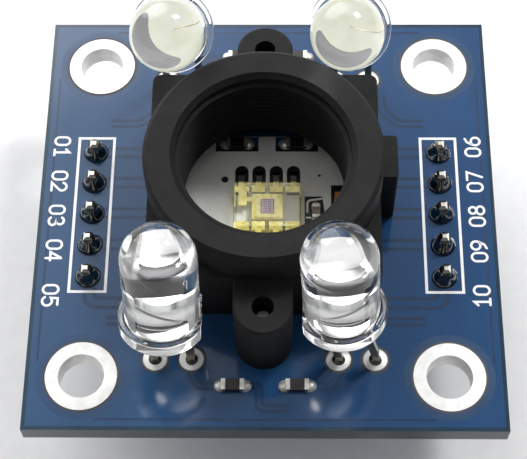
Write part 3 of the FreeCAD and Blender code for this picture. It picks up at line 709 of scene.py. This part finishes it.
for side in ("left", "right"):
    solderLow, solderHigh = boxOf(side + "_header_solder")
    padRadius = (solderHigh[0] - solderLow[0]) / 2 * jointShape["padShare"]
    joints = Shape()
    for place in pinPlaces(side):
        top = solderHigh[2] * (1 - jointShape["heightVaries"] * random.random())
        addJoint(joints, place, boardTop, top, padRadius, jointShape["pinTip"], jointShape["pinCurve"])
    joints.place(side + "_pin_joints", solder, "solder", smooth=True, replaced=[side + "_header_solder"])


def leadSpot(node, level):  # middle of a lead where it crosses a level, in mm
    near = [spot for spot in spotsOf(node) if abs(spot.z - level) < jointShape["leadBand"]]
    return sum(near, Vector()) / len(near)


lampPads = []
for lamp in lamps:
    for end in ("cup", "post"):
        node = lamp + "_led_" + end + "_lead"
        tail = leadSpot(node, boxOf(node)[0][2])
        lampPads.append((tail.x, tail.y))
ledSolderLow, ledSolderHigh = boxOf("led_solder")
lampPadRadius = ledSolderHigh[0] - max(x for x, y in lampPads)
lampJoints = Shape()
for place in lampPads:
    addJoint(lampJoints, place, boardTop, boardTop + jointShape["lampLift"], lampPadRadius,
             jointShape["lampNeck"], jointShape["lampCurve"], jointShape["lampWobble"])
    addJoint(lampJoints, place, boardLow[2], ledSolderLow[2], lampPadRadius, jointShape["underTip"],
             jointShape["underCurve"])
lampJoints.place("lamp_joints", tin, "solder", smooth=True, replaced=["led_solder"])
middles = Shape()  # painted shade: a darker ring of solder close round each lead, inside the bright tin joint
for place in lampPads:
    addJoint(middles, place, boardTop, boardTop + jointShape["middleLift"], jointShape["middleRadius"],
             jointShape["middleTip"], jointShape["middleCurve"], jointShape["lampWobble"])
middles.place("lamp_joint_middles", solder, "solder", smooth=True)

blobShape = {"rings": 8, "segments": 28, "heightShare": 0.72, "reach": 0.5, "reachLeast": 0.9,
             "reachVaries": 0.2, "reachShareY": 0.7, "outset": 0.02, "wider": 0.07}


def addBlob(shape, x, y, radiusX, radiusY, height):
    angles = [math.pi / 2 * ring / blobShape["rings"] for ring in range(blobShape["rings"])]
    profile = [(0.0, 0.0)] + [(math.cos(angle), math.sin(angle)) for angle in angles] + [(0.0, 1.0)]
    scale = Matrix.Diagonal((radiusX, radiusY, height, 1.0))
    addTurned(shape, profile, Matrix.Translation((x, y, boardTop)) @ scale, blobShape["segments"])


blobs = Shape()
for name in nodes:
    if not name.endswith(("_ends", "_tabs")):
        continue
    low, high = boxOf(name)
    sizeX = high[0] - low[0]
    sizeY = high[1] - low[1]
    centerX = (low[0] + high[0]) / 2
    centerY = (low[1] + high[1]) / 2
    out = max(sizeX, sizeY) / 2 + blobShape["outset"]
    halfWide = min(sizeX, sizeY) / 2 + blobShape["wider"]
    tall = (high[2] - boardTop) * blobShape["heightShare"]
    for sign in (-1, 1):
        reach = blobShape["reach"] * (blobShape["reachLeast"] + blobShape["reachVaries"] * random.random())
        if sizeX > sizeY:
            addBlob(blobs, centerX + sign * out, centerY, reach, halfWide, tall)
        else:
            addBlob(blobs, centerX, centerY + sign * out, halfWide, reach * blobShape["reachShareY"], tall)
blobs.place("chip_joints", chipSolder, "solder", smooth=True, replaced=["chip_solder"])
print("solder laid")


# Board: dark lines in the coating where the copper stops, each kind at a height of its own
coating = {"edgeWidth": 0.27, "edgeInset": 0.002, "edgeLift": 0.004,
           "borderInset": 0.78, "borderWidth": 0.16, "borderHalf": 11.6, "lineLift": 0.005,
           "haloRadius": 3.15, "haloLift": 0.003, "ringGap": 0.16, "gapLift": 0.008, "ringSides": 60,
           "padClear": 0.02, "padGap": 0.14, "padLift": 0.007, "padSides": 36}
halfX = boardHigh[0] - coating["edgeInset"]  # the inset keeps the strip inside the board's walls
halfY = boardHigh[1] - coating["edgeInset"]
edge = Shape()
edgeHalf = coating["edgeWidth"] / 2
addRibbon(edge, rectangle(0, 0, 2 * (halfX - edgeHalf), 2 * (halfY - edgeHalf)), coating["edgeWidth"],
          closed=True, lift=coating["edgeLift"])
edge.place("board_edge_strip", edgeBlue, "board")

lines = Shape()
borderX = halfX - coating["borderInset"]
borderY = halfY - coating["borderInset"]
reach = coating["borderHalf"]
for sign in (-1, 1):
    alongX = [(-reach, sign * borderY), (reach, sign * borderY)]
    alongY = [(sign * borderX, -reach), (sign * borderX, reach)]
    for ends in (alongX, alongY):
        addRibbon(lines, ends, coating["borderWidth"], lift=coating["lineLift"])


def addRing(shape, x, y, innerRadius, width, sides, lift):
    addRibbon(shape, circle(x, y, innerRadius + width / 2, sides), width, closed=True, lift=lift)


holes = mountOf("mounting_holes")["dims"]
holeX = holes["spacing_x_mm"] / 2
holeY = holes["spacing_y_mm"] / 2
ringRadius = boxOf("mounting_hole_plating")[1][0] - holeX
gaps = Shape()
halos = Shape()
for x in (-holeX, holeX):
    for y in (-holeY, holeY):
        haloWidth = coating["haloRadius"] - ringRadius
        addRing(halos, x, y, ringRadius, haloWidth, coating["ringSides"], coating["haloLift"])
        addRing(gaps, x, y, ringRadius, coating["ringGap"], coating["ringSides"], coating["gapLift"])
gaps.place("ring_gaps", bareGap, "board")
halos.place("ring_halos", ringBlue, "board")

# Tracks: their corners, the copper's width and the radius of a bend
pinRow = pinPlaces("right")
headerX, firstPinY = pinRow[0]
bossReach = 1.3  # how far the holder's side boss stands out of its wall
holderWallX = holderHigh[0] - bossReach
tracks = {
    "lineWidth": 0.26, "bendSteps": 6,
    "bothSides": [([(headerX - 1.0, y), (holderWallX - 0.3, y)], 0.72, 0.6) for x, y in pinRow[1:]] + [
        ([(headerX - 0.2, firstPinY - 1.0), (headerX - 0.2, -7.15), (headerX - 4.4, -7.15)], 0.72, 0.6),
        ([(headerX - 1.6, -8.55), (headerX - 4.4, -8.55)], 0.5, 0.6),
        ([(3.5, -13.4), (4.6, -13.4), (5.08, -12.5)], 0.4, 0.3),
        ([(3.5, 13.5), (4.6, 13.5), (5.08, 12.5)], 0.4, 0.3)],
    "single": [
        ([(-1.0, -13.4), (-0.4, -13.4), (-0.4, -15.0), (1.6, -15.0)], 0.4, 0.4),
        ([(-11.6, 7.6), (-9.4, 7.6), (-8.3, 8.7), (-8.3, 10.2)], 0.5, 0.5),
        ([(11.6, 7.6), (9.8, 7.6), (8.6, 8.8), (8.6, 10.0)], 0.5, 0.5)],
}


def bend(points, radius):  # rounds the corners of a line
    path = [points[0]]
    for before, corner, after in zip(points, points[1:], points[2:]):
        here = Vector(corner)
        wayIn = (Vector(before) - here).normalized() * radius
        wayOut = (Vector(after) - here).normalized() * radius
        for step in range(tracks["bendSteps"] + 1):
            share = step / tracks["bendSteps"]
            spot = here + wayIn * (1 - share) ** 2 + wayOut * share ** 2
            path.append(tuple(spot))
    path.append(points[-1])
    return path


def addTrack(points, width, radius):  # a dark line on both sides of one copper track
    path = bend(points, radius)
    for side in (-1, 1):
        line = offsetLine(path, side * width / 2, False)
        addRibbon(lines, line, tracks["lineWidth"], lift=coating["lineLift"])


for side in (-1, 1):
    for points, width, radius in tracks["bothSides"]:
        addTrack([(side * x, y) for x, y in points], width, radius)
for points, width, radius in tracks["single"]:
    addTrack(points, width, radius)
lines.place("coating_lines", gapBlue, "board")

padRings = Shape()
for x, y in lampPads:
    addRing(padRings, x, y, lampPadRadius + coating["padClear"], coating["padGap"], coating["padSides"],
            coating["padLift"])
padRings.place("lamp_pad_gaps", bareGap, "board")
print("coating drawn")


# Print: header frames, plain numbers and the marks by the small capacitor
printShape = {"frameX": 2.8, "frameY": 12.8, "line": 0.2, "digitWidth": 0.6, "digitHeight": 1.1,
              "digitPitch": 0.93, "stroke": 0.175, "strokeDrop": 0.002,
              "numberX": 15.28, "numberY": (5.6, 2.65, -0.2, -3.05, -6.6), "markBend": 0.3,
              "marks": [([(2.98, 0.11), (2.98, 1.05), (4.01, 1.2)], 0.16),  # corners and width
                        ([(2.93, -0.35), (3.2, -0.35)], 0.14),
                        ([(3.08, -0.86), (3.10, -0.88)], 0.16),
                        ([(-0.9, 15.1), (0.4, 15.25)], 0.16)]}


def digitStrokes(digit):  # strokes in a box that is digitWidth wide and 1 high
    width = printShape["digitWidth"]
    middle = width / 2
    zero = arc(middle, 1 - middle, middle, middle, 0, 180) + arc(middle, middle, middle, middle, 180, 360)
    six = [(0.50, 1.0), (0.24, 0.86), (0.06, 0.56)] + arc(middle, 0.3, middle, 0.3, 165, 500, 16)
    strokes = {
        "0": [zero],
        "1": [[(0.10, 0.78), (0.34, 1.0), (0.34, 0.0)], [(0.12, 0.0), (0.56, 0.0)]],
        "2": [arc(middle, 0.70, middle, 0.30, 165, -25) + [(0.0, 0.0), (width, 0.0)]],
        "3": [arc(middle - 0.02, 0.75, 0.27, 0.25, 150, -90) + arc(middle, 0.25, 0.30, 0.25, 89, -150)],
        "4": [[(0.44, 0.0), (0.44, 1.0)], [(0.40, 0.98), (0.0, 0.30), (width, 0.30)]],
        "5": [[(0.54, 1.0), (0.08, 1.0), (0.05, 0.56)] + arc(0.28, 0.32, 0.32, 0.32, 125, -150, 12)],
        "6": [six],
        "7": [[(0.0, 1.0), (width, 1.0), (0.22, 0.0)]],
        "8": [arc(middle, 0.76, 0.25, 0.24, 0, 345, 15), arc(middle, 0.26, 0.30, 0.26, 0, 345, 15)],
        "9": [[(width - x, 1 - y) for x, y in six]],
    }
    return strokes[digit], digit in "08"


def addNumber(shape, text, x, y, angle):
    size = printShape["digitHeight"]
    middle = printShape["digitWidth"] / 2
    turn = Matrix.Rotation(math.radians(angle), 2)
    for index, digit in enumerate(text):
        strokes, closed = digitStrokes(digit)
        shift = (index - (len(text) - 1) / 2) * printShape["digitPitch"]
        for number, stroke in enumerate(strokes):
            path = []
            for strokeX, strokeY in stroke:
                spot = turn @ Vector(((strokeX - middle) * size + shift, (strokeY - 0.5) * size))
                path.append((x + spot.x, y + spot.y))
            drop = printShape["strokeDrop"] * number  # so that strokes don't share a face
            addRibbon(shape, path, printShape["stroke"], closed=closed, lift=printLift - drop)


marks = Shape()
frameLine = printShape["line"]
frameX = printShape["frameX"] - frameLine
frameY = printShape["frameY"] - frameLine
for side in (-1, 1):
    addRibbon(marks, rectangle(side * headerX, 0, frameX, frameY), frameLine, closed=True)
    for index, y in enumerate(printShape["numberY"]):
        number = index + 1 if side < 0 else index + 1 + pinCount
        addNumber(marks, "%02d" % number, side * printShape["numberX"], y, 90 * side)
for points, width in printShape["marks"]:
    addRibbon(marks, bend(points, printShape["markBend"]), width)
marks.place("white_marks", whitePrint, "board")


# White field round the sensor, with windows for the parts
sensorLeads = {"count": 4, "pitch": 1.27}  # on each long side
field = {"half": 6.45, "corner": 0.8, "cornerSteps": 8, "windowX": 3.17, "windowY": 1.24,
         "shadeLift": 0.004, "slotWidth": 0.99, "slotIn": 1.2, "slotOut": 3.95, "slotSteps": 14,
         "capacitorWindow": [(2.78, -2.9), (4.42, -2.9), (4.20, 0.4), (4.07, 1.39), (2.78, 1.39)],
         "sideWindow": [(4.72, -3.1), (6.40, -3.1), (6.40, 2.33), (4.72, 2.33)],
         "dots": [(-3.08, 2.8, 0.26, 24), (3.88, 3.13, 0.11, 12)]}  # round openings: x, y, radius, sides


def roundedOutline(halfX, halfY, radius, steps):
    outline = []
    for signX, signY, start in ((1, 1, 0), (-1, 1, 90), (-1, -1, 180), (1, -1, 270)):
        centerX = signX * (halfX - radius)
        centerY = signY * (halfY - radius)
        outline += arc(centerX, centerY, radius, radius, start, start + 90, steps)
    return outline


leadPlaces = []
for lead in range(sensorLeads["count"]):
    leadPlaces.append(sensorX + (lead - (sensorLeads["count"] - 1) / 2) * sensorLeads["pitch"])
windows = []
for side in ("left", "right"):
    low, high = boxOf("inner_" + side + "_resistor")
    middle = [(least + most) / 2 for least, most in zip(low, high)]
    windows.append(rectangle(middle[0], middle[1], field["windowX"], field["windowY"]))
slotRadius = field["slotWidth"] / 2
for x in leadPlaces:
    rearSlot = [(x - slotRadius, field["slotIn"]), (x + slotRadius, field["slotIn"])]
    rearSlot += arc(x, field["slotOut"] - slotRadius, slotRadius, slotRadius, 0, 180, field["slotSteps"])
    windows.append(rearSlot)
    windows.append([(slotX, -slotY) for slotX, slotY in reversed(rearSlot)])
windows += [field["capacitorWindow"], field["sideWindow"]]
windows += [circle(*dot) for dot in field["dots"]]
# painted shade: a near-black sheet under the white field, seen through its windows, stands in for the
# holder's shade
shade = Shape()
shadeSize = 2 * (field["half"] - field["corner"])
addPlate(shade, rectangle(0, 0, shadeSize, shadeSize), boardTop, boardTop + field["shadeLift"])
shade.place("painted_shade_sheet", paintedShadeCoating, "board")
whiteField = Shape()
fieldOutline = roundedOutline(field["half"], field["half"], field["corner"], field["cornerSteps"])
addPlate(whiteField, fieldOutline, boardTop, boardTop + printLift, holes=windows)
whiteField.place("white_field", shelteredPrint, "board")
print("print laid")


# Sensor: clear package, light cells and bond wires
packageShape = {"draft": 0.12, "seam": 0.75, "edge": 0.09, "edgeShare": 0.3,
                "corner": 0.12, "endCorner": 0.1, "cornerSteps": 5}


def roundedRing(inset, corner, level):  # the package's outline, drawn in by the inset, at a level
    outline = roundedOutline(packageX - inset, packageY - inset, corner, packageShape["cornerSteps"])
    return [(sensorX + x, y, level) for x, y in outline]


def addRings(shape, rings):
    count = len(rings[0])
    points = [point for ring in rings for point in ring]
    faces = [tuple(reversed(range(count))), tuple(range(len(points) - count, len(points)))]
    for level in range(len(rings) - 1):
        for index in range(count):
            a = level * count + index
            b = level * count + (index + 1) % count
            faces.append((a, b, b + count, a + count))
    shape.add(points, faces)


packageX = (packageHigh[0] - packageLow[0]) / 2
packageY = (packageHigh[1] - packageLow[1]) / 2
draft = packageShape["draft"]
edgeRound = packageShape["edge"]
edgePart = edgeRound * packageShape["edgeShare"]
corner = packageShape["corner"]
clearPackage = Shape()
addRings(clearPackage, [
    roundedRing(draft + edgeRound, packageShape["endCorner"], packageLow[2]),
    roundedRing(draft, corner, packageLow[2] + edgeRound),
    roundedRing(0.0, corner, boardTop + packageShape["seam"]),
    roundedRing(draft, corner, packageHigh[2] - edgeRound),
    roundedRing(draft + edgePart, corner, packageHigh[2] - edgePart),
    roundedRing(draft + edgeRound, packageShape["endCorner"], packageHigh[2])])
clearPackage.place("clear_package", packageGlass, "sensor_package", replaced=["sensor_package"])

# The field lies on the chip and the cells stand a little out of it
cells = {"low": (-0.34, -0.62), "high": (0.50, 0.46), "columns": 5, "rows": 6, "gap": 0.05,
         "marginX": 0.07, "marginY": 0.05, "fieldLift": 0.006, "cellFoot": 0.004, "cellLift": 0.012}
cellLowX, cellLowY = cells["low"]
cellHighX, cellHighY = cells["high"]
chipTop = dieHigh[2]
cellField = Shape()
addBox(cellField, (cellLowX - cells["marginX"], cellLowY - cells["marginY"], chipTop),
       (cellHighX + cells["marginX"], cellHighY + cells["marginY"], chipTop + cells["fieldLift"]))
cellField.place("light_cell_field", arrayViolet, "sensor_die")
pinkCells = Shape()
blueCells = Shape()
stepX = (cellHighX - cellLowX) / cells["columns"]
stepY = (cellHighY - cellLowY) / cells["rows"]
for column in range(cells["columns"]):
    for row in range(cells["rows"]):
        lowX = cellLowX + column * stepX + cells["gap"] / 2
        lowY = cellLowY + row * stepY + cells["gap"] / 2
        group = blueCells if column % 2 else pinkCells
        addBox(group, (lowX, lowY, chipTop + cells["cellFoot"]),
               (lowX + stepX - cells["gap"], lowY + stepY - cells["gap"], chipTop + cells["cellLift"]))
pinkCells.place("pink_light_cells", arrayPink, "sensor_die")
blueCells.place("blue_light_cells", arrayBlue, "sensor_die")

bonds = {"radius": 0.014, "sides": 6, "steps": 8, "rise": 0.16, "chipPitch": 0.42, "insetX": 0.12,
         "insetY": 0.1, "leadShare": 0.93, "leadY": 1.42, "leadLift": 0.86}
wires = Shape()
for leadX in leadPlaces:
    out = leadX - sensorX
    spotX = sensorX + out / sensorLeads["pitch"] * bonds["chipPitch"]
    spotX = max(dieLow[0] + bonds["insetX"], min(dieHigh[0] - bonds["insetX"], spotX))
    for side, spotY in ((-1, dieLow[1] + bonds["insetY"]), (1, dieHigh[1] - bonds["insetY"])):
        start = Vector((spotX, spotY, chipTop))
        endX = sensorX + out * bonds["leadShare"]
        end = Vector((endX, side * bonds["leadY"], boardTop + bonds["leadLift"]))
        path = humpPath(start, end, Vector((0.0, 0.0, bonds["rise"])), bonds["steps"])
        addTube(wires, path, bonds["radius"], bonds["sides"])
wires.place("sensor_bond_wires", goldWire, "sensor_lead", smooth=True)
print("sensor built")


# Floor and light
floorLook = {"size": 1.4, "base": (0.91, 0.91, 0.91), "spot": (0.88, 0.88, 0.88), "spotScale": 900,
             "spotSpan": (0.35, 0.6), "roughness": 0.8, "lift": 0.03}
floorSize = floorLook["size"] / mm
floorCorners = [(x * mm, y * mm, floorLevel * mm) for x, y in rectangle(0, 0, floorSize, floorSize)]
floorMesh = bpy.data.meshes.new("floor")
floorMesh.from_pydata(floorCorners, [], [(0, 1, 2, 3)])
floor = bpy.data.objects.new("floor", floorMesh)
bpy.context.scene.collection.objects.link(floor)
floorMaterial, floorTree, floorShader = newMaterial("pale floor")
speck = noise(floorTree, objectPlace(floorTree), floorLook["spotScale"], detail=2.0)
floorColor = tones(floorTree, speck, floorLook["spot"], floorLook["base"], floorLook["spotSpan"])
floorTree.links.new(floorColor, floorShader.inputs["Base Color"])
floorShader.inputs["Roughness"].default_value = floorLook["roughness"]
floorRays = addNode(floorTree, "ShaderNodeLightPath")
seen = floorRays.outputs["Is Camera Ray"]
for kind in ("Is Glossy Ray", "Is Transmission Ray"):  # the same paler floor in metal and glass
    both = addNode(floorTree, "ShaderNodeMath", operation="ADD", use_clamp=True)
    floorTree.links.new(seen, both.inputs[0])
    floorTree.links.new(floorRays.outputs[kind], both.inputs[1])
    seen = both.outputs[0]
lift = addNode(floorTree, "ShaderNodeMath", {1: floorLook["lift"]}, operation="MULTIPLY")
floorTree.links.new(seen, lift.inputs[0])
floorShader.inputs["Emission Color"].default_value = (1, 1, 1, 1)
floorTree.links.new(lift.outputs[0], floorShader.inputs["Emission Strength"])
floorMesh.materials.append(floorMaterial)

worldLook = {"toward": (-0.35, 0.75, 0.56),  # brightness by how near a direction is to this one
             "steps": [(-0.2, 0.12), (0.2, 0.26), (0.55, 0.60), (0.78, 0.38), (0.85, 1.05), (0.94, 2.3)]}
world = bpy.data.worlds.new("studio")
bpy.context.scene.world = world
world.use_nodes = True
worldTree = world.node_tree
direction = addNode(worldTree, "ShaderNodeTexCoord").outputs["Generated"]
aim = addNode(worldTree, "ShaderNodeVectorMath", {1: worldLook["toward"]}, operation="DOT_PRODUCT")
worldTree.links.new(direction, aim.inputs[0])
level = addNode(worldTree, "ShaderNodeMapRange", {"From Min": -1.0, "From Max": 1.0})
worldTree.links.new(aim.outputs["Value"], level.inputs["Value"])
worldColor = ramp(worldTree, level.outputs["Result"],
                  [((dot + 1) / 2, (bright, bright, bright * 1.01)) for dot, bright in worldLook["steps"]])
worldTree.links.new(worldColor, worldTree.nodes["Background"].inputs["Color"])

lightLooks = {"rear left window": {"power": 0.62, "size": 0.3, "place": (-0.155, 0.255, 0.19)},
              "rear right lamp": {"power": 0.62, "size": 0.08, "place": (0.147, 0.156, 0.277)}}
for name, look in lightLooks.items():
    lightData = bpy.data.lights.new(name, "AREA")
    lightData.energy = look["power"]
    lightData.size = look["size"]
    light = bpy.data.objects.new(name, lightData)
    bpy.context.scene.collection.objects.link(light)
    light.location = look["place"]
    light.rotation_euler = (-Vector(look["place"])).to_track_quat("-Z", "Y").to_euler()

# Camera, fitted to the photo
shot = {"azimuth": 1.9231, "elevation": 62.94, "roll": -1.6058, "distance": 106.2983,
        "target": (-0.2005, -1.3249), "lens": 100.33, "sensor": 36.0, "clipStart": 0.005}
azimuth = math.radians(shot["azimuth"])
elevation = math.radians(shot["elevation"])
roll = math.radians(shot["roll"])
back = Vector((math.sin(azimuth) * math.cos(elevation), -math.cos(azimuth) * math.cos(elevation),
               math.sin(elevation)))
right = Vector((math.cos(azimuth), math.sin(azimuth), 0.0))
up = back.cross(right)
tiltedRight = right * math.cos(roll) + up * math.sin(roll)
tiltedUp = up * math.cos(roll) - right * math.sin(roll)
target = Vector((*shot["target"], boardTop))
cameraData = bpy.data.cameras.new("camera")
cameraData.lens = shot["lens"]
cameraData.sensor_width = shot["sensor"]
cameraData.clip_start = shot["clipStart"]
camera = bpy.data.objects.new("camera", cameraData)
bpy.context.scene.collection.objects.link(camera)
turn = Matrix((tiltedRight, tiltedUp, back)).transposed().to_4x4()
camera.matrix_world = Matrix.Translation((target + back * shot["distance"]) * mm) @ turn
bpy.context.scene.camera = camera
bpy.context.scene.view_settings.view_transform = "Standard"

print("scene ready")
